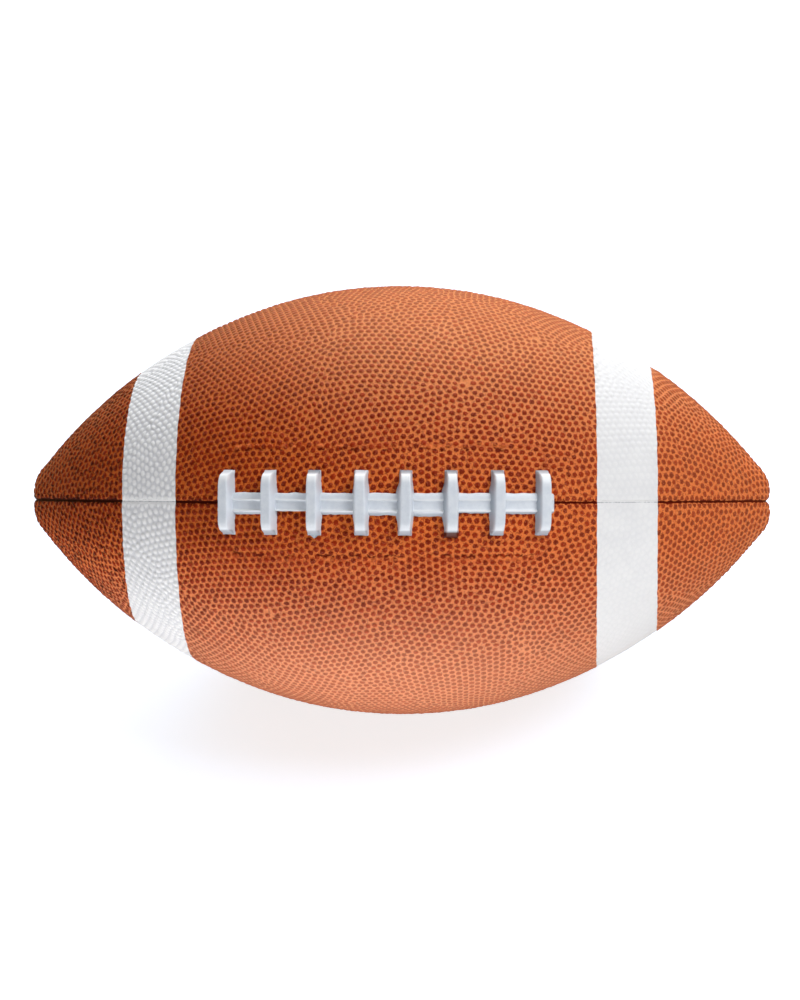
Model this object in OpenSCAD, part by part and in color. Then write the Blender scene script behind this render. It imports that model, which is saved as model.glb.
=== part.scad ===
// American football with a moulded rubber cover, lying on its belly.
// The long axis runs along X and the origin is at the middle of the ball.
// The lacing is turned up towards the front, which is -Y.

/* [Ball] */
// Length from nose to nose
ball_l = 290; // [265:1:315]
// Diameter round the belly
ball_d = 168; // [152:1:184]
// Radius of the belly's curve, as a share of the circle through the middle and both noses
belly_share = 0.975; // [0.93:0.005:1.05]
// Angle that the belly's curve covers on each side of the middle
belly_angle = 19; // [12:0.5:25]
// Radius of each nose
nose_r = 22; // [16:0.5:30]
// Turn of the lacing up from level, towards the front
lacing_turn = 39; // [0:1:90]

/* [Wall] */
// Thickness of the cellular rubber cover
cover_t = 2.4; // [2:0.1:4]
// Thickness of the rubber-coated lining
carcass_t = 0.6; // [0.4:0.1:1.2]
// Thickness of the thread winding
winding_t = 0.5; // [0.3:0.1:1.2]
// Thickness of the bladder
bladder_t = 0.8; // [0.5:0.1:1.5]
// Gap left between two bonded layers
bond_gap = 0.05; // [0.02:0.01:0.1]

/* [Seams] */
// Width of the crease at a seam
seam_w = 0.8; // [0.4:0.1:1.6]
// Depth of the crease at a seam
seam_depth = 1.2; // [0.8:0.1:1.5]
// Width of the shallow mouth over the crease
mouth_w = 2.6; // [1.8:0.1:4]
// Depth of the shallow mouth over the crease
mouth_depth = 0.3; // [0.1:0.05:0.4]

/* [Stripes] */
// Distance from the middle of the ball to a stripe
stripe_start = 78.4; // [70:0.1:90]
// Width of a stripe along the ball
stripe_w = 22.5; // [15:0.5:30]
// Thickness of a stripe
stripe_t = 0.5; // [0.45:0.05:0.8]

/* [Lacing] */
// Distance between two cross laces
lace_pitch = 16.6; // [14:0.1:18]
// Distance of the lacing's centre from the middle of the ball
lace_shift = 0.75; // [-3:0.25:3]
// Length of a cross lace
lace_l = 23.8; // [20:0.1:28]
// Width of a cross lace at its crown
lace_top_w = 4.2; // [3:0.1:6]
// Width of a cross lace at its foot
lace_foot_w = 5.2; // [3.2:0.1:7]
// Height of a cross lace over the cover
lace_h = 4.8; // [4:0.1:6]
// Radius of the arch of a cross lace
lace_arch_r = 19; // [17:0.5:24]
// Steepness of the end of a cross lace, in degrees
lace_end_angle = 67; // [50:1:80]
// Width of the strip along the seam
strip_w = 7.8; // [6:0.1:11]
// Height of the strip over the cover
strip_h = 1; // [0.6:0.1:1.4]
// Distance between the middles of the two rails
rail_gap = 4.4; // [3:0.1:5.4]
// Width of a rail
rail_w = 1.6; // [1:0.1:2.2]
// Height of a rail over the cover
rail_h = 1.7; // [1.5:0.1:2.4]
// Length of the strip past each end lace
strip_end = 1.3; // [0.5:0.1:4]
// Length of the pad under the lacing
pad_l = 120; // [110:1:140]
// Width of the pad under the lacing
pad_w = 40; // [32:1:50]
// Thickness of the pad under the lacing
pad_t = 0.6; // [0.3:0.1:0.9]
// Radius of the pad's corners
pad_corner_r = 6; // [2:0.5:12]

/* [Valve] */
// Turn of the valve from the lacing, over the top to the rear
valve_turn = 158; // [120:1:165]
// Radius of the valve boot's stem
stem_r = 4.5; // [4.2:0.1:6]
// Radius of the valve boot's barrel inside the bladder
barrel_r = 5.5; // [5.2:0.1:8]
// Length of the barrel below the bladder's wall
barrel_l = 11; // [8:0.5:16]
// Radius of the flange bonded to the bladder
flange_r = 11; // [9:0.5:16]
// Thickness of the flange
flange_t = 1.2; // [0.8:0.1:2]
// Distance of the valve's rim below the cover's surface
rim_drop = 0.4; // [0.2:0.1:1]
// Radius of the valve plug
plug_r = 2.6; // [2.2:0.1:3]
// Radius of the valve plug's head
plug_head_r = 3.4; // [3.2:0.1:3.8]
// Thickness of the valve plug's head
plug_head_t = 1; // [0.6:0.1:2]
// Radius of the entry for the inflating needle
needle_r = 1; // [0.8:0.05:1.3]
// Depth of the entry for the inflating needle
needle_depth = 4; // [2:0.5:7]
// Clearance round the valve's pieces
valve_gap = 0.05; // [0.02:0.01:0.2]

/* [Hidden] */
$fn = 180;

// Number of cross laces, one node each
lace_count = 8;
// Steps along each arc of the profile
belly_steps = 9;
flank_steps = 15;
nose_steps = 8;
// Extra length of every cut past the surface that it opens
over = 1;

// The profile is three arcs that run into each other without a corner: belly, flank and nose.
// Its points are [distance from the long axis, place along the long axis].
belly_r = belly_share * (pow(ball_l, 2) + pow(ball_d, 2)) / (4 * ball_d);
belly_c = [ball_d / 2 - belly_r, 0];
nose_c = [0, ball_l / 2 - nose_r];
belly_end_dir = [cos(belly_angle), sin(belly_angle)];
apart = belly_c - nose_c;
grow = (apart * apart - pow(belly_r - nose_r, 2)) / (2 * (apart * belly_end_dir + belly_r - nose_r));
flank_r = belly_r + grow;
flank_c = belly_c - grow * belly_end_dir;
nose_angle = atan2(nose_c.y - flank_c.y, nose_c.x - flank_c.x);

// Depths of the layers below the cover's surface
carcass_depth = cover_t + bond_gap;
winding_depth = carcass_depth + carcass_t + bond_gap;
bladder_depth = winding_depth + winding_t + bond_gap;
air_depth = bladder_depth + bladder_t;
flange_depth = air_depth + bond_gap;

belly_top = ball_d / 2;
reach = ball_l;
lacing_l = (lace_count - 1) * lace_pitch;
strip_l = lacing_l + lace_foot_w + 2 * strip_end;
rim_top = belly_top - rim_drop;
barrel_foot = belly_top - flange_depth - barrel_l;
// Length along the ball that takes in both the pad and the strip
stretch_l = max(pad_l, strip_l) + 4 * over;

// Points of an arc, from one angle to another
function arc(centre, radius, from, to, steps) =
  [for (i = [0:steps]) let (a = from + (to - from) * i / steps) centre + radius * [cos(a), sin(a)]];

// All points of a list but its first
function after_first(points) = [for (i = [1:len(points) - 1]) points[i]];

// Half of the profile at some depth below the cover's surface, from the belly to the nose
function half_profile(depth) = concat(
  arc(belly_c, belly_r - depth, 0, belly_angle, belly_steps),
  after_first(arc(flank_c, flank_r - depth, belly_angle, nose_angle, flank_steps)),
  after_first(arc(nose_c, nose_r - depth, nose_angle, 90, nose_steps))
);

// Angle of the surface's normal at a place along the ball, and the surface's distance from the axis
function normal_angle(place) =
  abs(place) < belly_r * sin(belly_angle)
    ? asin(place / belly_r)
    : sign(place) * asin((abs(place) - flank_c.y) / flank_r);
function surface_r(place) =
  abs(place) < belly_r * sin(belly_angle)
    ? belly_c.x + belly_r * cos(normal_angle(place))
    : flank_c.x + flank_r * cos(normal_angle(place));

// Place of a cross lace along the ball
function lace_place(i) = lace_shift + (i - (lace_count + 1) / 2) * lace_pitch;

// The shapes below are drawn round Z, with the lacing on the side of +X.
// lay_down turns them so that the long axis runs along X and the lacing looks to the front.
module lay_down() {
  rotate([-90 - lacing_turn, 0, 0])
    rotate([0, 90, 0])
      children();
}

// Half section of the ball at some depth below the cover's surface
module section(depth) {
  half = half_profile(depth);
  low_half = [for (i = [len(half) - 1:-1:1]) [half[i].x, -half[i].y]];
  polygon(concat(low_half, half));
}

// Half section of a layer between two depths
module layer_section(top, foot) {
  difference() {
    section(top);
    section(foot);
  }
}

// Half section of the zone that a stripe takes along the ball
module stripe_band(side) {
  from = side > 0 ? stripe_start : -stripe_start - stripe_w;
  translate([0, from])
    square([reach, stripe_w]);
}

// Slot of one width and depth along the seam at an angle round the ball
module seam_slot(angle, width, depth) {
  rotate([0, 0, angle])
    rotate([90, 0, 0])
      linear_extrude(width, center = true)
        difference() {
          translate([-over, -reach])
            square([reach, 2 * reach]);
          section(depth);
        }
}

// Creases at the two seams of a panel
module seams_of(quarter) {
  for (edge = [quarter, quarter + 1]) {
    seam_slot(90 * edge, seam_w, seam_depth);
    seam_slot(90 * edge, mouth_w, mouth_depth);
  }
}

// Hole for the valve's stem through every layer
module valve_hole() {
  at_valve()
    translate([0, 0, barrel_foot])
      cylinder(r = stem_r + valve_gap, h = belly_top - barrel_foot + over);
}

// Turns what is drawn along Z so that it points out of the ball at the valve
module at_valve() {
  rotate([0, 0, -valve_turn])
    rotate([0, 90, 0])
      children();
}

// Block over the pad, as large as the pad and a clearance
module pad_block(clear) {
  long = pad_l + 2 * clear;
  wide = pad_w + 2 * clear;
  corner = pad_corner_r + clear;
  translate([0, 0, lace_shift])
    rotate([0, 90, 0])
      linear_extrude(reach) {
        square([long - 2 * corner, wide], center = true);
        square([long, wide - 2 * corner], center = true);
        for (x = [-1, 1], y = [-1, 1])
          translate([x * (long / 2 - corner), y * (wide / 2 - corner)])
            circle(r = corner);
      }
}

// The stretch of the ball that the pad and the lacing lie on
module lacing_stretch() {
  translate([0, lace_shift - stretch_l / 2])
    square([reach, stretch_l]);
}

// Layer between two depths, under the lacing only
module layer_at_lacing(top, foot) {
  rotate([0, 0, -45])
    rotate_extrude(angle = 90)
      intersection() {
        layer_section(top, foot);
        lacing_stretch();
      }
}

// Everything within a height over the cover, on the lacing's side only
module ball_at_lacing(height) {
  rotate([0, 0, -45])
    rotate_extrude(angle = 90)
      intersection() {
        section(-height);
        lacing_stretch();
      }
}

// Quarter of the cover, with the stripes' recesses, the seams and the pad's pocket
module panel(quarter) {
  difference() {
    rotate([0, 0, 90 * quarter])
      rotate_extrude(angle = 90)
        difference() {
          layer_section(0, cover_t);
          for (side = [-1, 1])
            difference() {
              stripe_band(side);
              section(stripe_t + bond_gap);
            }
        }
    seams_of(quarter);
    if (quarter == 0 || quarter == 3)
      intersection() {
        layer_at_lacing(cover_t - pad_t - bond_gap, cover_t + over);
        pad_block(bond_gap);
      }
    if (quarter == 2)
      valve_hole();
  }
}

// Strip of a stripe on one panel
module stripe(side, quarter) {
  difference() {
    rotate([0, 0, 90 * quarter])
      rotate_extrude(angle = 90)
        intersection() {
          layer_section(0, stripe_t);
          stripe_band(side);
        }
    seams_of(quarter);
  }
}

// Block along the seam under the lacing, of one width, from the axis to a height over the cover
module strip_block(middle, width, height, length) {
  intersection() {
    ball_at_lacing(height);
    translate([0, middle - width / 2, lace_shift - length / 2])
      cube([reach, width, length]);
  }
}

// The strip and its two rails, grown by a clearance and running down to the axis
module strip_form(clear) {
  length = strip_l + 2 * clear;
  strip_block(0, strip_w + 2 * clear, strip_h + clear, length);
  for (side = [-1, 1])
    strip_block(side * rail_gap / 2, rail_w + 2 * clear, rail_h + clear, length);
}

module lace_strip() {
  difference() {
    strip_form(0);
    ball_at_lacing(bond_gap);
  }
}

// Arched bar over the strip. Its own X points away from the cover, and its own Z along the ball.
module cross_lace(i) {
  place = lace_place(i);
  foot = -pow(lace_l / 2, 2) / ball_d;
  root = foot - over;
  crown = lace_h + over;
  draw_in = (crown - foot) / tan(lace_end_angle);
  difference() {
    translate([surface_r(place), 0, place])
      rotate([0, -normal_angle(place), 0])
        intersection() {
          linear_extrude(lace_foot_w, center = true)
            intersection() {
              translate([lace_h - lace_arch_r, 0])
                circle(r = lace_arch_r);
              polygon([
                [root, -lace_l / 2],
                [foot, -lace_l / 2],
                [crown, -lace_l / 2 + draw_in],
                [crown, lace_l / 2 - draw_in],
                [foot, lace_l / 2],
                [root, lace_l / 2]
              ]);
            }
          rotate([90, 0, 0])
            linear_extrude(lace_l, center = true)
              polygon([
                [root, -lace_foot_w / 2],
                [0, -lace_foot_w / 2],
                [lace_h, -lace_top_w / 2],
                [lace_h, lace_top_w / 2],
                [0, lace_foot_w / 2],
                [root, lace_foot_w / 2]
              ]);
        }
    ball_at_lacing(bond_gap);
    strip_form(bond_gap);
  }
}

module lace_pad() {
  intersection() {
    layer_at_lacing(cover_t - pad_t, cover_t);
    pad_block(0);
  }
}

// Closed layer between two depths, with the valve's hole
module layer(top, foot) {
  difference() {
    rotate_extrude()
      layer_section(top, foot);
    valve_hole();
  }
}

module valve_boot() {
  difference() {
    union() {
      intersection() {
        rotate([0, 0, -valve_turn - 45])
          rotate_extrude(angle = 90)
            layer_section(flange_depth, flange_depth + flange_t);
        at_valve()
          cylinder(r = flange_r, h = reach);
      }
      at_valve()
        translate([0, 0, barrel_foot])
          cylinder(r = stem_r, h = rim_top - barrel_foot);
      intersection() {
        at_valve()
          translate([0, 0, barrel_foot])
            cylinder(r = barrel_r, h = barrel_l);
        rotate_extrude()
          section(flange_depth);
      }
    }
    at_valve() {
      translate([0, 0, barrel_foot - over])
        cylinder(r = plug_r + valve_gap, h = reach);
      translate([0, 0, rim_top - plug_head_t - valve_gap])
        cylinder(r = plug_head_r + valve_gap, h = plug_head_t + over);
    }
  }
}

module valve_plug() {
  at_valve()
    difference() {
      union() {
        translate([0, 0, barrel_foot])
          cylinder(r = plug_r, h = rim_top - barrel_foot);
        translate([0, 0, rim_top - plug_head_t])
          cylinder(r = plug_head_r, h = plug_head_t);
      }
      translate([0, 0, rim_top - needle_depth])
        cylinder(r = needle_r, h = needle_depth + over);
    }
}

// Pieces in their place and colour
module cover_piece(quarter) {
  color("chocolate")
    lay_down()
      panel(quarter);
}

module stripe_piece(side, quarter) {
  color("whitesmoke")
    lay_down()
      stripe(side, quarter);
}

module lace_piece(i) {
  color("white")
    lay_down()
      cross_lace(i);
}

module lace_strip_piece() {
  color("white")
    lay_down()
      lace_strip();
}

module lace_pad_piece() {
  color("tan")
    lay_down()
      lace_pad();
}

module carcass_piece() {
  color("dimgray")
    lay_down()
      layer(carcass_depth, carcass_depth + carcass_t);
}

module winding_piece() {
  color("ivory")
    lay_down()
      layer(winding_depth, winding_depth + winding_t);
}

module bladder_piece() {
  color("black")
    lay_down()
      layer(bladder_depth, air_depth);
}

module valve_boot_piece() {
  color("darkslategray")
    lay_down()
      valve_boot();
}

module valve_plug_piece() {
  color("saddlebrown")
    lay_down()
      valve_plug();
}

cover_piece(0);  // panel_front_lower
cover_piece(1);  // panel_rear_lower
cover_piece(2);  // panel_rear_upper
cover_piece(3);  // panel_front_upper
stripe_piece(-1, 0);  // stripe_left_front_lower
stripe_piece(-1, 1);  // stripe_left_rear_lower
stripe_piece(-1, 2);  // stripe_left_rear_upper
stripe_piece(-1, 3);  // stripe_left_front_upper
stripe_piece(1, 0);  // stripe_right_front_lower
stripe_piece(1, 1);  // stripe_right_rear_lower
stripe_piece(1, 2);  // stripe_right_rear_upper
stripe_piece(1, 3);  // stripe_right_front_upper
lace_strip_piece();  // lace_strip
lace_piece(1);  // cross_lace_1
lace_piece(2);  // cross_lace_2
lace_piece(3);  // cross_lace_3
lace_piece(4);  // cross_lace_4
lace_piece(5);  // cross_lace_5
lace_piece(6);  // cross_lace_6
lace_piece(7);  // cross_lace_7
lace_piece(8);  // cross_lace_8
lace_pad_piece();  // lace_pad
carcass_piece();  // carcass
winding_piece();  // thread_winding
bladder_piece();  // bladder
valve_boot_piece();  // valve_boot
valve_plug_piece();  // valve_plug
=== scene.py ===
"""American football of moulded rubber: a pebbled cover, flush white stripes and moulded lacing.

The ball is described by its outline and by an angle round its long axis: zero at the lacing,
and growing over the top to the rear. Lengths are in millimetres until a mesh is made.
"""

import math

import bpy
import numpy as np
from mathutils import Matrix, Vector, kdtree, noise
from mathutils.geometry import delaunay_2d_cdt


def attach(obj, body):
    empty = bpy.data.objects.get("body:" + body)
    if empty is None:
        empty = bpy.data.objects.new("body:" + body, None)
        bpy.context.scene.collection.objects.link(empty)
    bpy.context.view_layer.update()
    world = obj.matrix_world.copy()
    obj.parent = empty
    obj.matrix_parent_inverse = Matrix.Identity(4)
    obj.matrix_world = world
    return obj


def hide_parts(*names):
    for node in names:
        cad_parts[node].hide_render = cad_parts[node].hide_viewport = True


MM = 0.001

# Ball, as in the part's source
BALL_L = 290.0
BALL_D = 168.0
BELLY_SHARE = 0.975
BELLY_R = BELLY_SHARE * (BALL_L ** 2 + BALL_D ** 2) / (4 * BALL_D)
BELLY_ANGLE = math.radians(19)
NOSE_R = 22.0
LACING_TURN = math.radians(39)

# Pebbles: step, height, radii of the top and of the rim, and the heights there as shares of the whole
PEBBLE_STEP = 2.72
PEBBLE_HEIGHT = 0.42
PEBBLE_TOP_R = 0.98
PEBBLE_RIM_R = 1.3
TOP_SHARE = 0.74
RIM_SHARE = 0.04
# How dark the top ring is beside the middle of a pebble
TOP_TIP = 0.85
# Spread, least and greatest share of the pebbles' sizes and heights
SIZE_SPREAD = (0.085, 0.78, 1.18)
HEIGHT_SPREAD = (0.14, 0.6, 1.3)
# Widest rim, as a share of the way to the next pebble or to a plain point
RIM_LIMIT = 0.465
RIM_LIMIT_PLAIN = 0.85

# Grain: patches of even rows, how the rows bend, and the rounds in which pebbles push each other apart
PATCHES = 26
PATCH_REACH = 110.0
PATCH_SPREAD = (0.93, 0.8)
ROW_BEND = 2.2
BEND_LENGTHS = (14, 24)
FIRST_ROUNDS = 5
LATER_ROUNDS = 10
PUSH_REACH = 1.5
PUSH_SHARE = 0.32
PUSH_NEIGHBOURS = 10
SEARCH_EVERY = 6
FIRST_CROWDED = 0.66
LAST_CROWDED = 0.7

# Seams: room without pebbles and its waves, the plain rows there, and how low the pebbles beside them are
SEAM_CLEAR = 1.3
SEAM_CLEAR_WAVE = 0.25
CLEAR_WAVES = (0.37, 0.83)
SEAM_ROWS = (0.0, 0.1, 0.21, 0.34, 0.5)
SEAM_STEPS = 340
SEAM_LOW_SHARE = 0.5
SEAM_LOW_FROM = 0.4
SEAM_LOW_W = 1.4
CREVICE_W = 0.9
# Depth and half width of the crease, of its rounded shoulders, of the sag beside it and of the nose's notch
CREASE = (0.45, 0.42)
SHOULDER = (0.26, 0.8)
PILLOW = (0.1, 4.0)
NOTCH = (1.5, 1.4)
NOTCH_R = 5.5
# Depth of the crease on the stripes, as a share of that on the cover
STRIPE_CREASE = 0.12

# How far the moulded ball lies under its ideal form: all round, low at the left, and less at the right,
# with the place and the radius from which that is full; the left nose and its radius, and the fuller ring
# round both noses
BASE_DROP = 0.3
LOW_LEFT_DROP = 0.35
LOW_RIGHT_RISE = 0.75
TOP_RIGHT_RISE = 0.5
UNEVEN_L = 125
UNEVEN_R = 9
LEFT_NOSE_DROP = 1.6
LEFT_NOSE_R = 7.5
NOSE_FULLNESS = 0.9
NOSE_FULL_R = 7.5

# Fold over the pad's edge: how far from it the materials read it, its two sides' distance, width, rise and
# sink, how low and over what width its pebbles are, and how short of the pad's end and how softly it stops
FOLD_SEEN = 9
FOLD_AT = 0.8
FOLD_W = 1.1
FOLD_RISE = 0.16
FOLD_SINK = 0.12
FOLD_LOW = 0.45
FOLD_LOW_W = 0.9
FOLD_END = (1, 5)

# Stripes, as in the part's source
STRIPE_START = 78.4
STRIPE_W = 22.5
# Relief on the stripes as a share of the cover's, and the ramp at their edges
LEFT_STRIPE_RELIEF = 0.75
RIGHT_STRIPE_RELIEF = 0.35
STRIPE_RAMP = 1.2
# The upper stripes are smooth from the seam to here, and then less and less
SMOOTH_BAND = (2.2, 0.8)

# Lacing, as in the part's source
LACE_COUNT = 8
LACE_PITCH = 16.6
LACE_SHIFT = 0.75
LACE_L = 23.8
LACE_TOP_W = 4.2
LACE_FOOT_W = 5.2
LACE_H = 4.8
LACE_FLAT = 6.4
LACE_DROOP = 0.095
LACE_END_ANGLE = math.radians(67)
STRIP_END = 1.3
PAD_L = 120.0
PAD_W = 40.0
PAD_CORNER_R = 6.0

# Valve, as in the part's source
VALVE_TURN = math.radians(158)
STEM_R = 4.5
BARREL_R = 5.5
BARREL_L = 11.0
FLANGE_R = 11.0
FLANGE_T = 1.2
FLANGE_DEPTH = 4.5
RIM_DROP = 0.4
PLUG_R = 2.6
PLUG_HEAD_R = 3.4
PLUG_HEAD_T = 1.0
NEEDLE_R = 1.0
NEEDLE_DEPTH = 4.0
VALVE_GAP = 0.05
# Distances from the ball's centre: rim of the valve, top of its flange and foot of its barrel
VALVE_RIM = BALL_D / 2 - RIM_DROP
VALVE_TOP = BALL_D / 2 - FLANGE_DEPTH
VALVE_FOOT = VALVE_TOP - BARREL_L
# Rings of points round the valve beyond its stem and their step, room without pebbles, and the dish there
VALVE_RINGS = (0.15, 0.8, 1.6)
VALVE_CLEAR = 2.9
VALVE_DISH = 0.55
VALVE_RING_STEP = 0.7

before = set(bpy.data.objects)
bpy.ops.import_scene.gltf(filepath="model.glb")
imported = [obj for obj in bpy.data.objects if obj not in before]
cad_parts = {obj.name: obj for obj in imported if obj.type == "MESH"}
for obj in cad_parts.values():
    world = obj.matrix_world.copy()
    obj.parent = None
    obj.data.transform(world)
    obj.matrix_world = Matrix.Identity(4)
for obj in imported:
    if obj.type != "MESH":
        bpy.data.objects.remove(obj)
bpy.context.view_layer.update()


ALONG = np.array((1.0, 0.0, 0.0))
TO_LACING = np.array((0.0, -math.cos(LACING_TURN), math.sin(LACING_TURN)))
OVER_TOP = np.array((0.0, math.sin(LACING_TURN), math.cos(LACING_TURN)))
# Half the angle of a panel
HALF_PANEL = math.pi / 4
# Greatest share that a seam's clear room takes of the radius, and what the triangulation leaves at a nose
WIDEST_SHARE = 0.7
NOSE_TIP = 0.4


def outward(angle):
    """Directions from the long axis at angles round it."""
    return np.cos(angle)[..., None] * TO_LACING + np.sin(angle)[..., None] * OVER_TOP


def clip01(share):
    """Keeps shares between 0 and 1."""
    return np.clip(share, 0, 1)


# Outline

# Steps along each of the outline's three arcs
ARC_STEPS = 1500


def outline_table():
    """Arc length, place along the axis, distance from it and turn of the normal, from belly to nose."""
    belly = np.array((BALL_D / 2 - BELLY_R, 0.0))
    nose = np.array((0.0, BALL_L / 2 - NOSE_R))
    end = np.array((math.cos(BELLY_ANGLE), math.sin(BELLY_ANGLE)))
    apart = belly - nose
    grow = (apart @ apart - (BELLY_R - NOSE_R) ** 2) / (2 * (apart @ end + BELLY_R - NOSE_R))
    flank = belly - grow * end
    flank_r = BELLY_R + grow
    nose_angle = math.atan2(nose[1] - flank[1], nose[0] - flank[0])
    arcs = ((belly, BELLY_R, 0.0, BELLY_ANGLE), (flank, flank_r, BELLY_ANGLE, nose_angle),
            (nose, NOSE_R, nose_angle, math.pi / 2))
    places, radii = [], []
    for centre, radius, first, last in arcs:
        turn = np.linspace(first, last, ARC_STEPS)
        places.append(centre[1] + radius * np.sin(turn))
        radii.append(centre[0] + radius * np.cos(turn))
    radius = np.maximum(np.concatenate(radii), 0)
    share = (radius / NOSE_FULL_R) ** 2
    place = np.concatenate(places) + NOSE_FULLNESS * share * np.exp(1 - share)
    steps = np.hypot(np.diff(place), np.diff(radius))
    arc = np.concatenate(([0.0], np.cumsum(steps)))
    keep = np.concatenate(([True], steps > 1e-6))
    arc, place, radius = arc[keep], place[keep], radius[keep]
    turn = np.arctan2(-np.gradient(radius, arc), np.gradient(place, arc))
    return arc, place, radius, np.minimum(turn, math.pi / 2)


ARC, PLACE, RADIUS, TURN = outline_table()
HALF_ARC = ARC[-1]


def mirrored(at, table, values):
    """Looks places up in a table of the right half, and gives those on the left the other sign."""
    return np.sign(at) * np.interp(np.abs(at), table, values)


def radius_at(arc):
    return np.interp(np.abs(arc), ARC, RADIUS)


def arc_at_radius(radius):
    return np.interp(-radius, -RADIUS, ARC)


def arc_at_place(place):
    return mirrored(place, PLACE, ARC)


def on_ball(arc, angle):
    """Points on the smooth ball and the normals there."""
    turn = mirrored(arc, ARC, TURN)
    out = outward(angle)
    points = mirrored(arc, ARC, PLACE)[..., None] * ALONG + radius_at(arc)[..., None] * out
    normals = np.sin(turn)[..., None] * ALONG + np.cos(turn)[..., None] * out
    return points, normals


# Pebbles

def conformal(arc):
    """Stretch of the outline in which small shapes keep their form, for the triangulation."""
    fine = np.linspace(0, HALF_ARC - NOSE_TIP, 4 * ARC_STEPS)
    middle = (fine[1:] + fine[:-1]) / 2
    sums = np.concatenate(([0.0], np.cumsum(np.diff(fine) / radius_at(middle))))
    return mirrored(arc, fine, sums)


def room_inside(clear, arc):
    """Widest angle from a panel's middle that keeps a clear distance to its seams."""
    return HALF_PANEL - np.arcsin(np.clip(clear / radius_at(arc), 0, WIDEST_SHARE))


def keep_off_seams(arc, angle):
    """Moves pebbles back that came too near a seam or the nose."""
    limit = arc_at_radius((SEAM_CLEAR + SEAM_CLEAR_WAVE) / math.sin(HALF_PANEL)) - 0.05
    arc = np.clip(arc, -limit, limit)
    slow, fast = CLEAR_WAVES
    clear = SEAM_CLEAR + SEAM_CLEAR_WAVE * np.sin(arc * slow) * np.sin(arc * fast + np.sign(angle))
    room = room_inside(clear, arc)
    return arc, np.clip(angle, -room, room)


def hex_patches(rng):
    """Start of the grain: patches of even rows, each patch turned its own way."""
    spread_along, spread_round = PATCH_SPREAD
    seeds_arc = rng.uniform(-spread_along, spread_along, PATCHES) * HALF_ARC
    seeds_angle = rng.uniform(-spread_round, spread_round, PATCHES)
    seeds, _ = on_ball(seeds_arc, seeds_angle)
    rows = np.arange(-PATCH_REACH, PATCH_REACH, PEBBLE_STEP * math.sqrt(3) / 2)
    cols = np.arange(-PATCH_REACH, PATCH_REACH, PEBBLE_STEP)
    shift = (np.arange(len(rows)) % 2)[:, None] * PEBBLE_STEP / 2
    lattice_x = (cols[None, :] + shift).ravel()
    lattice_y = np.repeat(rows, len(cols))
    found_arc = []
    found_angle = []
    for k in range(PATCHES):
        way = rng.uniform(0, math.pi / 3)
        bend_x = ROW_BEND * np.sin(lattice_y / rng.uniform(*BEND_LENGTHS) + rng.uniform(0, 6))
        bend_y = ROW_BEND * np.sin(lattice_x / rng.uniform(*BEND_LENGTHS) + rng.uniform(0, 6))
        x = (lattice_x + bend_x) * math.cos(way) - (lattice_y + bend_y) * math.sin(way)
        y = (lattice_x + bend_x) * math.sin(way) + (lattice_y + bend_y) * math.cos(way)
        arc = seeds_arc[k] + x
        near = np.abs(arc) < HALF_ARC - 3
        arc = arc[near]
        angle = seeds_angle[k] + y[near] / radius_at(arc)
        inside = np.abs(angle) < room_inside(SEAM_CLEAR, arc)
        arc = arc[inside]
        angle = angle[inside]
        points, _ = on_ball(arc, angle)
        nearest = ((points[:, None, :] - seeds[None]) ** 2).sum(2).argmin(1)
        found_arc.append(arc[nearest == k])
        found_angle.append(angle[nearest == k])
    return np.concatenate(found_arc), np.concatenate(found_angle)


def search_tree(points):
    tree = kdtree.KDTree(len(points))
    for i, p in enumerate(points):
        tree.insert(p, i)
    tree.balance()
    return tree


def neighbours(points, count):
    tree = search_tree(points)
    return np.array([[hit[1] for hit in tree.find_n(p, count + 1)][1:] for p in points])


def relax(arc, angle, rounds):
    """Lets the pebbles push each other apart until their steps are even."""
    reach = PEBBLE_STEP * PUSH_REACH
    near = None
    for turn in range(rounds):
        points, normals = on_ball(arc, angle)
        if turn % SEARCH_EVERY == 0:
            near = neighbours(points, PUSH_NEIGHBOURS)
        away = points[:, None, :] - points[near]
        gap = np.maximum(np.linalg.norm(away, axis=2), 0.05)
        push = np.clip(1 - gap / reach, 0, None) / gap
        move = (away * push[..., None]).sum(1) * PEBBLE_STEP * PUSH_SHARE
        side = -np.sin(angle)[:, None] * TO_LACING + np.cos(angle)[:, None] * OVER_TOP
        forward = np.cross(side, normals)
        forward *= np.sign(forward @ ALONG + 1e-9)[:, None]
        arc = arc + (move * forward).sum(1)
        angle = angle + (move * side).sum(1) / np.maximum(radius_at(arc), 1.0)
        arc, angle = keep_off_seams(arc, angle)
    return arc, angle


def without_crowded(arc, angle, clearance):
    """Leaves out a pebble that sits on top of another."""
    points, _ = on_ball(arc, angle)
    tree = search_tree(points)
    keep = np.ones(len(points), bool)
    for i, p in enumerate(points):
        if keep[i]:
            for _, j, _ in tree.find_range(p, clearance):
                if j > i:
                    keep[j] = False
    return arc[keep], angle[keep]


def seam_row(distance):
    """Closed row of points round a panel, at one distance from its two seams."""
    far = arc_at_radius(distance / math.sin(HALF_PANEL))
    arc = far * np.sin(np.linspace(-1, 1, SEAM_STEPS + 1) * HALF_PANEL) / math.sin(HALF_PANEL)
    share = np.clip(distance / np.maximum(radius_at(arc), 1e-6), 0, math.sin(HALF_PANEL))
    angle = HALF_PANEL - np.arcsin(share)
    if distance > 0:
        angle[0] = angle[-1] = 0.0
    return np.concatenate((arc, arc[-2:0:-1])), np.concatenate((angle, -angle[-2:0:-1]))


def stripe_share(place):
    """1 on the stripes and 0 off them, with a short ramp."""
    beyond = np.abs(np.abs(place) - STRIPE_START - STRIPE_W / 2) - STRIPE_W / 2
    return clip01(0.5 - beyond / STRIPE_RAMP)


def dent(shape, distance):
    """Depth of a soft dent of a given depth and half width, at a distance from its middle line."""
    depth, width = shape
    return depth * np.exp(-(distance / width) ** 2)


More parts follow.
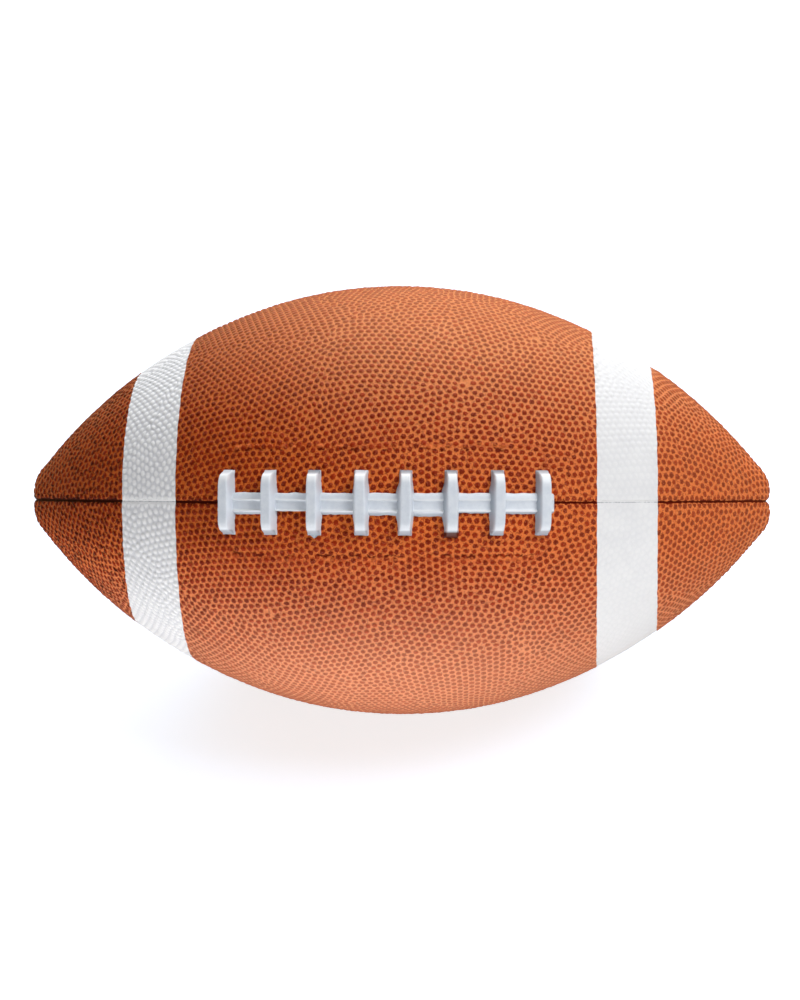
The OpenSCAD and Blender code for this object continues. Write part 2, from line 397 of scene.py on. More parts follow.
def seam_depth(arc, angle):
    """Depth of the crease at the seams, its rounded shoulders and the notch at each nose."""
    radius = radius_at(arc)
    distance = radius * np.sin(HALF_PANEL - np.abs(angle))
    striped = stripe_share(np.interp(np.abs(arc), ARC, PLACE))
    crease = CREASE[0] * clip01(1 - distance / CREASE[1]) ** 1.2
    crease = crease * (1 - (1 - STRIPE_CREASE) * striped)
    notch = dent(NOTCH, distance) * np.exp(-(radius / NOTCH_R) ** 2)
    return crease + dent(SHOULDER, distance) + dent(PILLOW, distance) + notch


def unevenness(place, radius, angle):
    """How far the moulded ball lies below its ideal form: it is not quite the same all round."""
    low, high = (clip01(side * np.sin(angle)) ** 2 * clip01(radius / UNEVEN_R) for side in (-1, 1))
    left, right = (np.sin(clip01(side * place / UNEVEN_L) * math.pi / 2) for side in (-1, 1))
    nose = LEFT_NOSE_DROP * np.exp(-(radius / LEFT_NOSE_R) ** 4) * (place < 0)
    rise = (LOW_RIGHT_RISE * low + TOP_RIGHT_RISE * high) * right
    return BASE_DROP + LOW_LEFT_DROP * low * left - rise + nose


def pad_edge(arc, angle, centre):
    """Distance from the outline of the pad under the lacing, which shows as a faint fold."""
    across = np.abs((centre + angle + math.pi) % (2 * math.pi) - math.pi) * radius_at(arc)
    past_end = np.abs(arc - LACE_SHIFT) - PAD_L / 2
    past_side = across - PAD_W / 2
    in_corner = (past_end > -PAD_CORNER_R) & (past_side > -PAD_CORNER_R)
    rounded = np.hypot(np.maximum(past_end + PAD_CORNER_R, 0), np.maximum(past_side + PAD_CORNER_R, 0))
    return np.where(in_corner, rounded - PAD_CORNER_R, np.maximum(past_end, past_side))


def pebble_places(rng):
    """Places of one panel's pebbles, with even steps."""
    arc, angle = hex_patches(rng)
    arc, angle = relax(arc, angle, FIRST_ROUNDS)
    arc, angle = without_crowded(arc, angle, PEBBLE_STEP * FIRST_CROWDED)
    arc, angle = relax(arc, angle, LATER_ROUNDS)
    return without_crowded(arc, angle, PEBBLE_STEP * LAST_CROWDED)


def from_valve(points, centre, valve_at):
    """Distance of points from the middle of the valve, whose angle is counted from the panel's middle."""
    middle, _ = on_ball(np.array(0.0), np.array(valve_at + centre))
    return np.linalg.norm(points - middle, axis=1)


def valve_rings(valve_at):
    """Plain rings of points round the valve's hole."""
    arcs = []
    angles = []
    for ring in VALVE_RINGS:
        radius = STEM_R + ring
        count = max(24, int(2 * math.pi * radius / VALVE_RING_STEP))
        way = np.arange(count) * 2 * math.pi / count
        arcs.append(radius * np.cos(way))
        angles.append(valve_at + radius * np.sin(way) / radius_at(0.0))
    return arcs, angles


def net_between(arc, angle, edge_len):
    """Triangles between a panel's points, inside the closed row that the first of them make."""
    flat = np.stack((conformal(arc), angle), 1)
    found = delaunay_2d_cdt([Vector(p) for p in flat], [], [list(range(edge_len))], 1, 1e-7)
    corner_of = [source[0] if source else -1 for source in found[3]]
    net = np.array([[corner_of[i] for i in face] for face in found[2] if len(face) == 3])
    net = net[(net >= 0).all(1)]
    one = flat[net[:, 1]] - flat[net[:, 0]]
    two = flat[net[:, 2]] - flat[net[:, 0]]
    turned = one[:, 0] * two[:, 1] - one[:, 1] * two[:, 0] < 0
    net[turned] = net[turned][:, ::-1]
    return net


class Skin:
    """Points of a panel by their place on the ball, with height, tip and tone, and its triangles."""

    def __init__(self):
        self.columns = [[] for _ in range(5)]
        self.triangles = []
        self.count = 0

    def add(self, arc, angle, height, tip, tone):
        """Adds points and returns their numbers."""
        for column, values in zip(self.columns, (arc, angle, height, tip, tone)):
            column.append(np.broadcast_to(values, np.shape(arc)))
        self.count += len(arc)
        return np.arange(self.count - len(arc), self.count)

    def face(self, a, b, c):
        self.triangles.append(np.stack((a, b, c), 1))


def varied(rng, spread, count):
    """Random shares about 1, kept between a least and a greatest one."""
    width, least, greatest = spread
    return np.clip(rng.normal(1.0, width, count), least, greatest)


def add_pebbles(skin, rng, arc, angle, plain, net):
    """Adds the net's points, of which the first are plain and the rest pebbles.

    Each pebble gets a top ring and a rim with a point towards each neighbour, and each triangle of the
    net a low point in the valley between its pebbles.
    """
    points, _ = on_ball(arc, angle)
    pebble = np.arange(len(arc)) >= plain
    size = varied(rng, SIZE_SPREAD, len(arc))
    tall = varied(rng, HEIGHT_SPREAD, len(arc))
    tone = rng.uniform(0, 1, len(arc))
    pairs = np.concatenate([net[:, [a, b]] for a in range(3) for b in range(3) if a != b])
    pairs = pairs[pebble[pairs[:, 0]]]
    keys = np.unique(pairs[:, 0] * len(arc) + pairs[:, 1])
    first, second = np.divmod(keys, len(arc))
    gap = np.linalg.norm(points[second] - points[first], axis=1)
    limit = np.where(pebble[second], RIM_LIMIT, RIM_LIMIT_PLAIN) * gap
    rim_r = np.minimum(PEBBLE_RIM_R * size[first], limit)

    def ring(radius, height, tip):
        share = radius / gap
        return skin.add(arc[first] + (arc[second] - arc[first]) * share,
                        angle[first] + (angle[second] - angle[first]) * share, height, tip, tone[first])

    def on_ring(numbers, corner, towards):
        return numbers[np.searchsorted(keys, corner * len(arc) + towards)]

    skin.add(arc, angle, np.where(pebble, PEBBLE_HEIGHT * tall, 0.0), np.where(pebble, 1.0, 0.0), tone)
    top = ring(rim_r * PEBBLE_TOP_R / PEBBLE_RIM_R, PEBBLE_HEIGHT * tall[first] * TOP_SHARE, TOP_TIP)
    rim = ring(rim_r, PEBBLE_HEIGHT * RIM_SHARE, 0.0)
    mixed = pebble[net].any(1)
    skin.triangles.append(net[~mixed])
    net = net[mixed]
    valley = skin.add(arc[net].mean(1), angle[net].mean(1), 0.0, 0.0, tone[net].mean(1))
    round_valley = []
    for order in ((0, 1, 2), (1, 2, 0), (2, 0, 1)):
        corner = net[:, order[0]]
        has_rings = pebble[corner]
        middle, ahead, behind = net[has_rings][:, order].T
        top_ahead, top_behind = on_ring(top, middle, ahead), on_ring(top, middle, behind)
        rim_ahead, rim_behind = on_ring(rim, middle, ahead), on_ring(rim, middle, behind)
        skin.face(middle, top_ahead, top_behind)
        skin.face(top_ahead, rim_ahead, rim_behind)
        skin.face(top_ahead, rim_behind, top_behind)
        entry, leave = corner.copy(), corner.copy()
        entry[has_rings], leave[has_rings] = rim_behind, rim_ahead
        round_valley += [entry, leave]
    for k, one in enumerate(round_valley):
        two = round_valley[(k + 1) % len(round_valley)]
        real = one != two
        skin.face(valley[real], one[real], two[real])


def add_seam_rows(skin, rows):
    """Adds the plain rows down to the seam line. The net holds the outermost one already."""
    row_len = len(rows[0][0])
    starts = [skin.add(arc, angle, 0.0, 0.0, 0.5)[0] for arc, angle in rows[:-1]] + [0]
    here = np.arange(row_len)
    ahead = (here + 1) % row_len
    for low, high in zip(starts, starts[1:]):
        skin.face(low + here, high + ahead, low + ahead)
        skin.face(low + here, high + here, high + ahead)


# What the materials read from the cover's points: height of the pebble, 1 on its top, its own tone,
# 1 in a seam, distance from the pad's edge, and 1 where the fold over that edge can show
TRAITS = ("height", "tip", "tone", "crevice", "fold", "fold_end")


def lowered(height, distance, fold, place, high):
    """Heights of the pebbles beside a seam, at the pad's edge and on the stripes."""
    full = clip01((distance - SEAM_LOW_FROM) / SEAM_LOW_W)
    height = height * (SEAM_LOW_SHARE + (1 - SEAM_LOW_SHARE) * full)
    height = height * (1 - dent((FOLD_LOW, FOLD_LOW_W), fold))
    height = height + dent((FOLD_RISE, FOLD_W), fold - FOLD_AT) - dent((FOLD_SINK, FOLD_W), fold + FOLD_AT)
    striped = stripe_share(place)
    relief = np.where(place < 0, LEFT_STRIPE_RELIEF, RIGHT_STRIPE_RELIEF)
    height = height * (1 - (1 - relief) * striped)
    smooth = clip01(SMOOTH_BAND[0] - distance / SMOOTH_BAND[1])
    return height * (1 - striped * high * smooth)


def raised(skin, centre, valve_at):
    """Points at their final places, each with its traits in the same row, and the triangles."""
    arc, angle, height, tip, tone = (np.concatenate(column) for column in skin.columns)
    distance = radius_at(arc) * np.sin(HALF_PANEL - np.abs(angle))
    fold = np.clip(pad_edge(arc, angle, centre), -FOLD_SEEN, FOLD_SEEN)
    points, normals = on_ball(arc, angle + centre)
    height = lowered(height, distance, fold, points[:, 0], np.sin(angle + centre) > 0)
    depth = seam_depth(arc, angle) + unevenness(points[:, 0], radius_at(arc), angle + centre)
    if valve_at is not None:
        inner, outer = STEM_R + VALVE_RINGS[0], STEM_R + VALVE_RINGS[1]
        away = from_valve(points, centre, valve_at)
        depth = depth + VALVE_DISH * clip01((outer - away) / (outer - inner)) ** 2
    points = points + normals * (height - depth)[:, None]
    crevice = clip01(1 - distance / CREVICE_W)
    short, fade = FOLD_END
    fold_end = clip01((PAD_L / 2 - short - np.abs(points[:, 0] - LACE_SHIFT)) / fade)
    data = np.column_stack((points, height, tip, tone, crevice, fold, fold_end))
    return data, np.concatenate(skin.triangles)


def pebbled_panel(centre, seed, valve_at=None):
    """Skin of one panel between its two seams, with the valve's hole where the valve is in this panel."""
    rng = np.random.default_rng(seed)
    arc, angle = pebble_places(rng)
    rows = [seam_row(distance) for distance in SEAM_ROWS]
    plain_arcs, plain_angles = [rows[-1][0]], [rows[-1][1]]
    if valve_at is not None:
        points, _ = on_ball(arc, angle + centre)
        free = from_valve(points, centre, valve_at) > STEM_R + VALVE_CLEAR
        arc, angle = arc[free], angle[free]
        ring_arcs, ring_angles = valve_rings(valve_at)
        plain_arcs += ring_arcs
        plain_angles += ring_angles
    plain = sum(len(row) for row in plain_arcs)
    arc = np.concatenate([*plain_arcs, arc])
    angle = np.concatenate([*plain_angles, angle])
    net = net_between(arc, angle, len(rows[-1][0]))
    if valve_at is not None:
        middle, _ = on_ball(arc[net].mean(1), angle[net].mean(1) + centre)
        net = net[from_valve(middle, centre, valve_at) > (STEM_R + VALVE_RINGS[0]) * 0.995]
    skin = Skin()
    add_pebbles(skin, rng, arc, angle, plain, net)
    add_seam_rows(skin, rows)
    return raised(skin, centre, valve_at)


# Pieces of the cover

def cut_where_zero(value, data, triangles):
    """Splits the triangles that the zero line of a value crosses, which is given for each point."""
    value = np.where(np.abs(value) < 1e-4, 1e-4, value)
    side = value[triangles] > 0
    crossed = side.any(1) & ~side.all(1)
    whole = triangles[~crossed]
    cut = triangles[crossed]
    sides = side[crossed]
    # turn each cut triangle so that its first corner is alone on its side
    alone = np.where(sides.sum(1) == 1, sides.argmax(1), (~sides).argmax(1))
    order = (alone[:, None] + np.arange(3)) % 3
    cut = np.take_along_axis(cut, order, 1)
    a, b, c = cut.T
    edges = np.sort(np.concatenate((np.stack((a, b), 1), np.stack((a, c), 1))), 1)
    unique, place = np.unique(edges, axis=0, return_inverse=True)
    place = place.ravel()
    share = value[unique[:, 0]] / (value[unique[:, 0]] - value[unique[:, 1]])
    fresh = data[unique[:, 0]] + (data[unique[:, 1]] - data[unique[:, 0]]) * share[:, None]
    at_b = len(data) + place[:len(cut)]
    at_c = len(data) + place[len(cut):]
    corners = ((a, at_b, at_c), (at_b, b, c), (at_b, c, at_c))
    return np.concatenate((data, fresh)), np.concatenate([whole] + [np.stack(face, 1) for face in corners])


# Edges of the stripes: place, and how far the edge slants towards -X at the top and at the bottom seam
STRIPE_EDGES = (
    (-STRIPE_START - STRIPE_W, -0.2, 1.4),
    (-STRIPE_START, 0.0, 1.1),
    (STRIPE_START, 2.5, 0.3),
    (STRIPE_START + STRIPE_W, 2.2, -0.5),
)
SLANT_POWER = 2.6
# Waves of the edges: size, how many go round the ball, and their shift from edge to edge
EDGE_WOBBLES = ((0.07, 23, 1), (0.06, 61, 2))


def past_edge(index, points):
    """How far points lie past one edge of a stripe."""
    place, top, bottom = STRIPE_EDGES[index]
    up = points[:, :3] @ OVER_TOP
    front = points[:, :3] @ TO_LACING
    high = up / np.maximum(np.hypot(up, front), 1e-6)
    slant = np.where(high > 0, top, bottom) * np.abs(high) ** SLANT_POWER
    turn = np.arctan2(up, front)
    wobble = sum(size * np.sin(turn * count + shift * index) for size, count, shift in EDGE_WOBBLES)
    return points[:, 0] - (place - slant + wobble)


def add_object(name, data):
    added = bpy.data.objects.new(name, data)
    bpy.context.collection.objects.link(added)
    return added


def add_traits(mesh, traits):
    """Gives each point of a mesh the values that its material reads."""
    for trait, values in traits:
        layer = mesh.attributes.new(trait, "FLOAT", "POINT")
        layer.data.foreach_set("value", np.asarray(values, np.float32))


def skin_object(name, data, triangles):
    used, place = np.unique(triangles, return_inverse=True)
    mesh = bpy.data.meshes.new(name)
    mesh.from_pydata((data[used, :3] * MM).tolist(), [], place.reshape(-1, 3).tolist())
    add_traits(mesh, zip(TRAITS, data[used, 3:].T))
    mesh.polygons.foreach_set("use_smooth", np.ones(len(mesh.polygons), bool))
    mesh.update()
    return add_object(name, mesh)


def cover_pieces(quarter, centre, seed, valve_at=None):
    """Skin of one panel, and the skins of its two stripes cut out of it."""
    data, triangles = pebbled_panel(centre, seed, valve_at)
    edges = range(len(STRIPE_EDGES))
    for k in edges:
        data, triangles = cut_where_zero(past_edge(k, data), data, triangles)
    middle = data[triangles][:, :, :3].mean(1)
    beyond = sum((past_edge(k, middle) > 0).astype(int) for k in edges)
    panel = skin_object("cover_" + quarter, data, triangles[(beyond % 2) == 0])
    finish_piece(panel, "panel_" + quarter, cover_rubber)
    for side, edges_passed in (("left", 1), ("right", 3)):
        stripe = skin_object("paint_" + side + "_" + quarter, data, triangles[beyond == edges_passed])
        finish_piece(stripe, "stripe_" + side + "_" + quarter, stripe_rubber)


# Materials

NOISE_DETAIL = 3.0
NOISE_ROUGHNESS = 0.55


def as_linear(colour):
    """Colour as it is seen, 0 to 255, as the shader's linear colour."""
    shares = [value / 255 for value in colour]
    return *(v / 12.92 if v <= 0.04045 else ((v + 0.055) / 1.055) ** 2.4 for v in shares), 1.0


class Finish:
    """A material and short ways to add its nodes."""

    def __init__(self, name):
        self.material = bpy.data.materials.new(name)
        self.material.use_nodes = True
        self.tree = self.material.node_tree
        self.shader = self.tree.nodes["Principled BSDF"]

    def feed(self, value, socket):
        if isinstance(value, bpy.types.NodeSocket):
            self.tree.links.new(value, socket)
        else:
            socket.default_value = value

    def set(self, socket, value):
        """Sets a socket of the shader, to a value or to the output of a node."""
        self.feed(value, self.shader.inputs[socket])

    def node(self, kind, inputs=None, **settings):
        """Adds a node whose inputs are values or outputs of other nodes."""
        node = self.tree.nodes.new("ShaderNode" + kind)
        for key, value in settings.items():
            setattr(node, key, value)
        for key, value in (inputs or {}).items():
            self.feed(value, node.inputs[key])
        return node

    def trait(self, name):
        return self.node("Attribute", attribute_name=name).outputs["Fac"]

    def place(self):
        return self.node("TexCoord").outputs["Object"]

    def reach(self, direction):
        """How far a point lies in a direction from the ball's middle, in metres."""
        inputs = {0: self.place(), 1: direction}
        return self.node("VectorMath", inputs, operation="DOT_PRODUCT").outputs["Value"]

    def noise(self, size_mm):
        inputs = {"Scale": 1 / (size_mm * MM), "Detail": NOISE_DETAIL, "Roughness": NOISE_ROUGHNESS}
        return self.node("TexNoise", {"Vector": self.place(), **inputs}).outputs["Fac"]

    def span(self, source, low, high, to_low=0.0, to_high=1.0):
        """Leads softly from one value to another while the source goes from low to high."""
        inputs = {"Value": source, "From Min": low, "From Max": high, "To Min": to_low, "To Max": to_high}
        return self.node("MapRange", inputs, interpolation_type="SMOOTHSTEP").outputs["Result"]

    def speckle(self, size_mm, *limits):
        """Noise of one size, drawn out between two limits."""
        return self.span(self.noise(size_mm), *limits)

    def mix(self, share, one, two):
        """Mixes two colours, each a tuple as it is seen or the output of a node."""
        one, two = (as_linear(colour) if isinstance(colour, tuple) else colour for colour in (one, two))
        return self.node("Mix", {0: share, 6: one, 7: two}, data_type="RGBA").outputs[2]

    def layers(self, colour, *layers):
        """Lays colours over one another, each by its share."""
        for share, over in layers:
            colour = self.mix(share, colour, over)
        return colour

    def math(self, operation, one, two):
        return self.node("Math", {0: one, 1: two}, operation=operation).outputs[0]

    def times(self, one, two):
        return self.math("MULTIPLY", one, two)

    def plus(self, one, two):
        return self.math("ADD", one, two)

    def bump(self, source, depth_mm, strength):
        inputs = {"Height": source, "Distance": depth_mm * MM, "Strength": strength}
        self.set("Normal", self.node("Bump", inputs).outputs["Normal"])


# Sizes of the rubber's unevenness in millimetres: wide blotches, wrinkles' breaks, waves of a line, grain,
# specks of painted shade, soft pebble edges, specks of painted highlight, painted glints on the pebbles,
# and the finest grain
BLOTCH = 14
BREAK = 3.0
LINE_WAVE = 12
LINE_NOISE = 1.6
SEAM_NOISE = 1.5
GLOSS_NOISE = 1.4
GRAIN = 1.1
SHADE_SPECK = 0.9
SOFT_EDGE = 0.8
HIGHLIGHT_SPECK = 0.7
GLINT = 0.6
FINE_GRAIN = 0.5

# Where the cover's colour stands in for light, in metres: painted shade to the left, above the lower side
# and on the front;
# painted sheen above, starting higher at the left; painted light from the floor below, and painted light to
# the right
SHADE_ALONG = (-0.14, 0.03)
SHADE_UP = (-0.028, -0.002)
SHADE_FRONT = (-0.02, 0.02)
SHEEN_LEFT = (-0.06, 0.0)
SHEEN_LEFT_RISE = 0.014
SHEEN_UP = (0.0, 0.065)
SHEEN_ALONG = (-0.1, 0.02)
FLOOR_LIGHT_UP = (-0.072, -0.006)
RIGHT_LIGHT_ALONG = (-0.05, 0.14)
# The same for the pebbles' tops, and for the painted shade in the seams, which is widest and darkest at the
# left nose
TOP_SHEEN_UP = (0.028, 0.075)
TOP_FLOOR_LIGHT_UP = (-0.075, -0.026)
TOP_RIGHT_LIGHT_ALONG = (0.04, 0.13)
SEAM_WIDE_ALONG = (-0.12, -0.02)
SEAM_DARK_ALONG = (-0.12, 0.0)
# Across the fold, in millimetres: start and end of the groove's and the ridge's two sides
GROOVE_SIDES = ((-1.05, -0.6), (-0.15, 0.25))
RIDGE_SIDES = ((0.1, 0.6), (1.4, 2.0))


def painted_shade_share(f):
    """How much painted shade darkens the cover at a place."""
    share = f.span(f.reach(ALONG), *SHADE_ALONG, 0.5, 0.0)
    share = f.times(share, f.span(f.reach(OVER_TOP), *SHADE_UP))
    return f.times(share, f.span(f.reach(TO_LACING), *SHADE_FRONT))


def valley_colour(f, painted_shade):
    """Orange rubber between the pebbles' tops, with blotches and grain, and painted light: highlights on
    the low valley lines, specks of highlight and of shade, sheen above, light from the floor below, light
    to the right and shade at the left end.
    """
    along = f.reach(ALONG)
    up = f.reach(OVER_TOP)
    # Painted sheen on the upper side, starting higher at the left and weaker at the left end
    risen = f.math("SUBTRACT", up, f.span(along, *SHEEN_LEFT, SHEEN_LEFT_RISE, 0.0))
    painted_sheen = f.times(f.span(risen, *SHEEN_UP, 0.0, 0.4), f.span(along, *SHEEN_ALONG, 0.7, 1.0))
    return f.layers(
        (203, 76, 15),
        (f.speckle(BLOTCH, 0.35, 0.65), (189, 66, 10)),
        (f.speckle(GRAIN, 0.4, 0.62, 0.0, 0.6), (228, 106, 38)),
        # Painted highlight along the low valley lines
        (f.span(f.trait("height"), 0.01, 0.11, 0.7, 0.0), (240, 126, 56)),
        # Specks of painted highlight, scattered at random
        (f.speckle(HIGHLIGHT_SPECK, 0.52, 0.6, 0.0, 0.7), (240, 138, 72)),
        # Specks of painted shade, scattered at random
        (f.speckle(SHADE_SPECK, 0.38, 0.46, 0.75, 0.0), (156, 50, 10)),
        # Painted sheen above
        (painted_sheen, (201, 165, 123)),
        # Painted light from the floor on the lower side
        (f.span(up, *FLOOR_LIGHT_UP, 0.46, 0.0), (226, 181, 150)),
        # Painted light towards the right end
        (f.span(along, *RIGHT_LIGHT_ALONG, 0.0, 0.24), (228, 150, 104)),
        # Painted shade at the left end
        (painted_shade, (116, 32, 5)),
    )


def top_colour(f, painted_shade):
    """Dark red-brown of the worn pebble tops, each with its own tone, with small painted glints, painted
    sheen above, painted light from the floor below and to the right, and painted shade at the left end.
    """
    up = f.reach(OVER_TOP)
    return f.layers(
        (154, 40, 6),
        (f.trait("tone"), (106, 16, 1)),
        # Painted glints
        (f.speckle(GLINT, 0.54, 0.62, 0.0, 0.4), (200, 112, 84)),
        # Painted sheen above
        (f.span(up, *TOP_SHEEN_UP, 0.0, 0.4), (222, 138, 96)),
        # Painted light from the floor on the lower side
        (f.span(up, *TOP_FLOOR_LIGHT_UP, 0.46, 0.0), (226, 144, 110)),
        # Painted light towards the right end
        (f.span(f.reach(ALONG), *TOP_RIGHT_LIGHT_ALONG, 0.0, 0.2), (214, 124, 78)),
        # Painted shade at the left end
        (painted_shade, (66, 9, 1)),
    )


def seam_layer(f):
    """Share and colour of the painted shade in the crease between the panels, widest and darkest at the
    left nose.
    """
    along = f.reach(ALONG)
    seam = f.plus(f.trait("crevice"), f.speckle(SEAM_NOISE, 0.3, 0.7, -0.3, 0.3))
    seam = f.plus(seam, f.span(along, *SEAM_WIDE_ALONG, 0.25, 0.0))
    return f.span(seam, 0.25, 0.6), f.mix(f.span(along, *SEAM_DARK_ALONG), (58, 8, 1), (100, 20, 3))


def fold_shares(f):
    """Groove and ridge of the wrinkles where the cover folds over the edge of the lacing's pad."""
    line = f.plus(f.trait("fold"), f.speckle(LINE_WAVE, 0.2, 0.8, -0.5, 0.5))
    line = f.plus(line, f.speckle(LINE_NOISE, 0.25, 0.75, -0.5, 0.5))
    broken = f.times(f.speckle(BREAK, 0.5, 0.6), f.trait("fold_end"))
    shares = []
    for rise, fall in (GROOVE_SIDES, RIDGE_SIDES):
        shares.append(f.times(f.times(f.span(line, *rise), f.span(line, *fall, 1.0, 0.0)), broken))
    return shares


def make_cover_rubber():
    """Orange-brown rubber with dark worn pebble tops, painted shade in the seams, and a wrinkle over the
    pad's edge with painted shade in its groove and a painted highlight on its ridge.
    """
    f = Finish("cover_rubber")
    # Painted shade at the cover's left end
    painted_shade = painted_shade_share(f)
    soft_tip = f.plus(f.trait("tip"), f.speckle(SOFT_EDGE, 0.2, 0.8, -0.2, 0.2))
    groove, ridge = fold_shares(f)
    # Painted highlight on the fold's ridge, weaker on the pebbles' tops
    ridge_highlight = f.times(ridge, f.span(f.trait("tip"), 0.2, 0.8, 0.95, 0.45))
    f.set("Base Color", f.layers(
        valley_colour(f, painted_shade),
        (f.span(soft_tip, 0.08, 0.95, 0.0, 0.95), top_colour(f, painted_shade)),
        # Painted shade in the seams
        seam_layer(f),
        # Painted shade in the fold's groove, then the painted highlight on its ridge
        (f.times(groove, 0.95), (98, 20, 3)),
        (ridge_highlight, (238, 128, 68)),
    ))
    f.set("Roughness", f.speckle(GLOSS_NOISE, 0.3, 0.7, 0.45, 0.6))
    f.set("Specular IOR Level", 0.05)
    f.set("Sheen Weight", 0.5)
    f.set("Sheen Roughness", 0.3)
    f.set("Sheen Tint", (1.0, 0.54, 0.19, 1.0))
    relief = f.times(f.math("SUBTRACT", ridge, groove), 2.0)
    f.bump(f.plus(relief, f.noise(FINE_GRAIN)), 0.1, 0.8)
    return f.material


# Places on the stripes in metres: change from the left to the right one, the heights over which painted
# shade comes in on the right one away from its middle, and the narrow band of painted highlight above the
# left one's seam
STRIPE_CHANGE = (-0.01, 0.01)
RIGHT_SHADE_UP = (0.008, 0.05)
LIP_HIGHLIGHT_UP = (0.0, 0.0004)


def make_stripe_rubber():
    """White rubber with grey painted shade in the valleys between its pebbles, more on the left stripe,
    painted shade on the right stripe away from its middle height, a painted highlight above the left
    stripe's seam, and grey painted shade in the seam.
    """
    f = Finish("stripe_rubber")
    up = f.reach(OVER_TOP)
    crevice = f.trait("crevice")
    on_left = f.span(f.reach(ALONG), *STRIPE_CHANGE, 1.0, 0.0)
    # Painted shade on the right stripe, growing away from its middle height
    wear_and_shade = f.span(f.math("ABSOLUTE", up, 0.0), *RIGHT_SHADE_UP, 0.0, 0.8)
    wear_and_shade = f.times(wear_and_shade, f.span(on_left, 0.0, 1.0, 1.0, 0.0))
    # Painted shade in the valleys between the pebbles, stronger on the left stripe and none in the seam
    valley = f.times(f.span(f.trait("tip"), 0.0, 0.45, 0.5, 0.0), f.span(on_left, 0.0, 1.0, 0.2, 1.0))
    valley = f.times(valley, f.span(crevice, 0.0, 0.1, 1.0, 0.0))
    # Painted highlight on a narrow band just above the left stripe's seam
    lip_highlight = f.times(f.span(crevice, 0.02, 0.25), f.span(up, *LIP_HIGHLIGHT_UP))
    # Grey painted shade in the seam's crease, broken by noise
    seam = f.plus(crevice, f.speckle(1.2, 0.3, 0.7, -0.12, 0.12))
    f.set("Base Color", f.layers(
        (242, 242, 243),
        (f.speckle(8, 0.3, 0.7), (237, 237, 239)),
        # Painted shade on the right stripe
        (wear_and_shade, (228, 228, 229)),
        (valley, (206, 208, 215)),
        # Painted highlight above the left stripe's seam
        (f.times(lip_highlight, on_left), (254, 254, 255)),
        (f.span(seam, 0.78, 0.95, 0.0, 0.9), (184, 184, 190)),
    ))
    f.set("Roughness", 0.7)
    f.set("Specular IOR Level", 0.1)
    f.bump(f.noise(0.6), 0.03, 0.4)
    return f.material


def make_lace_rubber():
    """Bluish white moulded rubber with painted shade on its walls, end faces and ledges, and a painted
    highlight band before its ends.
    """
    f = Finish("lace_rubber")
    f.set("Base Color", f.layers(
        (231, 237, 245),
        (f.speckle(3, 0.3, 0.7), (221, 228, 238)),
        (f.speckle(0.8, 0.55, 0.8, 0.0, 0.35), (205, 212, 221)),
        (f.times(f.trait("wall"), 0.6), (198, 205, 215)),
        (f.times(f.trait("facet"), 0.95), (146, 158, 170)),
        (f.times(f.trait("ledge"), 0.95), (122, 134, 146)),
        (f.times(f.trait("bright"), 0.8), (248, 250, 252)),
        (f.trait("bare"), (74, 18, 3)),
    ))
    f.set("Roughness", 0.38)
    f.bump(f.noise(0.9), 0.06, 0.5)
    return f.material


def dress(piece, material):
    piece.data.materials.clear()
    piece.data.materials.append(material)


def finish_piece(piece, node, material):
    """Puts a piece in the place of one of the part's nodes."""
    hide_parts(node)
    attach(piece, "root")
    dress(piece, material)


cover_rubber = make_cover_rubber()
stripe_rubber = make_stripe_rubber()

# The four panels: name, angle of the middle and start of its random draws
for quarter, middle, seed in (
    ("front_upper", 45, 11), ("rear_upper", 135, 12), ("rear_lower", 225, 13), ("front_lower", 315, 14),
):
    valve_at = VALVE_TURN - math.radians(middle) if quarter == "rear_upper" else None
    cover_pieces(quarter, math.radians(middle), seed, valve_at)


# Lacing

def at_lacing(place, along, across, height):
    """Points in the flat frame that touches the ball under one cross lace."""
    foot, out = on_ball(arc_at_place(place), np.array(0.0))
    forward = np.cross(OVER_TOP, out)
    forward = forward * np.sign(forward @ ALONG)
    return foot + along[:, None] * forward + across[:, None] * OVER_TOP + height[:, None] * out


def ripple(x, y, length, size, seed):
    """Smooth unevenness of a moulded edge, with waves of about one length and size."""
    return size * np.array([noise.noise(Vector((a / length + seed * 5.1, b / length, seed * 1.7)))
                            for a, b in zip(x, y)])


def move_points(piece, points):
    piece.data.vertices.foreach_set("co", (points * MM).astype(np.float32).ravel())
    piece.data.update()


def grid_piece(name, columns, rows):
    """Flat grid from Blender's own primitive, to be shaped. Returns it and its points by row and column."""
    bpy.ops.object.select_all(action="DESELECT")
    bpy.ops.mesh.primitive_grid_add(x_subdivisions=columns - 1, y_subdivisions=rows - 1, size=2)
    piece = bpy.context.object
    piece.name = name
    piece.data.name = name
    flat = np.array([v.co[:2] for v in piece.data.vertices])
    column = np.rint((flat[:, 0] + 1) / 2 * (columns - 1)).astype(int)
    row = np.rint((flat[:, 1] + 1) / 2 * (rows - 1)).astype(int)
    return piece, column, row


def turn_faces_out(merge_mm=None):
    """Turns the faces of the active piece out, after merging points that are nearer than a length."""
    bpy.ops.object.mode_set(mode="EDIT")
    bpy.ops.mesh.select_all(action="SELECT")
    if merge_mm:
        bpy.ops.mesh.remove_doubles(threshold=merge_mm * MM)
    bpy.ops.mesh.normals_make_consistent(inside=False)
    bpy.ops.object.mode_set(mode="OBJECT")


def shape_piece(piece, points, traits):
    """Moves the grid's points to their places, smooths the piece and turns its faces out."""
    move_points(piece, points)
    add_traits(piece.data, traits.items())
    turn_faces_out(merge_mm=0.02)
    smooth = piece.modifiers.new("smooth", "SUBSURF")
    smooth.levels = smooth.render_levels = 1
    bpy.ops.object.modifier_apply(modifier=smooth.name)
    bpy.ops.object.shade_smooth()


